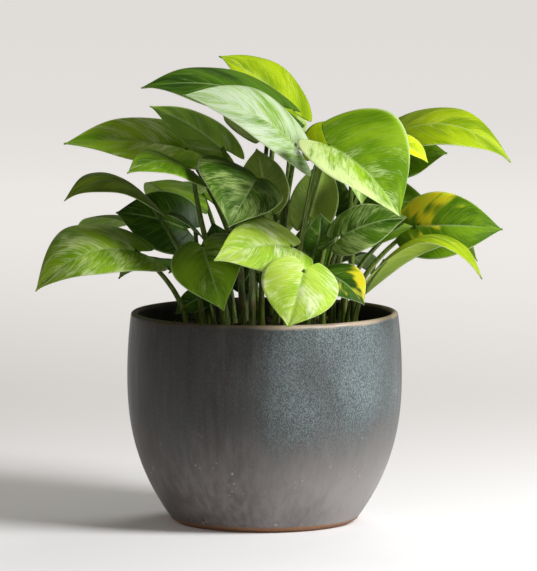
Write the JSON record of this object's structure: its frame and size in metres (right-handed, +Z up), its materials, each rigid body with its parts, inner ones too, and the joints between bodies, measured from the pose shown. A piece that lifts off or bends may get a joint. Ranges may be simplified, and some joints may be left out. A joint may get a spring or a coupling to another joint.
{
  "type": "potted pothos plant",
  "caption": "Trailing foliage houseplant with variegated heart-shaped leaves on stalks, growing in a round glazed stoneware pot with a flat foot.",
  "frame": {"origin": "middle of the pot's flat foot, on the surface it stands on", "axes": "+Z up, -Y towards the plant's fuller front, +X to the viewer's right"},
  "size_m": [0.3101, 0.2525, 0.3037],
  "materials": {
    "glazed_stoneware": "satin",
    "potting_soil": "matte",
    "vine_stem": "satin",
    "green_leaf": "satin"
  },
  "bodies": {
    "root": {"pot": "glazed_stoneware", "soil": "potting_soil", "vine_back_left": "vine_stem", "vine_back_right": "vine_stem", "vine_front": "vine_stem", "vine_left": "vine_stem", "vine_middle": "vine_stem", "vine_right": "vine_stem", "vine_tall": "vine_stem", "leaf_back_left": "green_leaf", "leaf_back_left_far": "green_leaf", "leaf_back_low": "green_leaf", "leaf_back_low_left": "green_leaf", "leaf_back_low_right": "green_leaf", "leaf_back_middle": "green_leaf", "leaf_back_right": "green_leaf", "leaf_back_right_far": "green_leaf", "leaf_back_upper": "green_leaf", "leaf_back_upper_left": "green_leaf", "leaf_back_upper_right": "green_leaf", "leaf_front_drooping": "green_leaf", "leaf_front_hanging": "green_leaf", "leaf_front_inner": "green_leaf", "leaf_front_reaching": "green_leaf", "leaf_front_upper": "green_leaf", "leaf_inner_left": "green_leaf", "leaf_inner_low": "green_leaf", "leaf_inner_right": "green_leaf", "leaf_left_curled": "green_leaf", "leaf_left_high": "green_leaf", "leaf_left_inner": "green_leaf", "leaf_left_low": "green_leaf", "leaf_left_middle": "green_leaf", "leaf_left_shaded": "green_leaf", "leaf_left_under": "green_leaf", "leaf_middle_inner": "green_leaf", "leaf_pot_edge": "green_leaf", "leaf_right_arched": "green_leaf", "leaf_right_behind": "green_leaf", "leaf_right_big": "green_leaf", "leaf_right_dark": "green_leaf", "leaf_right_high": "green_leaf", "leaf_right_level": "green_leaf", "leaf_right_low": "green_leaf", "leaf_right_narrow": "green_leaf", "leaf_right_upright": "green_leaf", "leaf_right_yellow": "green_leaf", "leaf_right_young": "green_leaf", "leaf_top_back": "green_leaf", "leaf_top_bright": "green_leaf", "leaf_top_inner": "green_leaf", "leaf_top_long": "green_leaf", "leaf_top_pale": "green_leaf", "leaf_top_under": "green_leaf"}
  },
  "joints": []
}
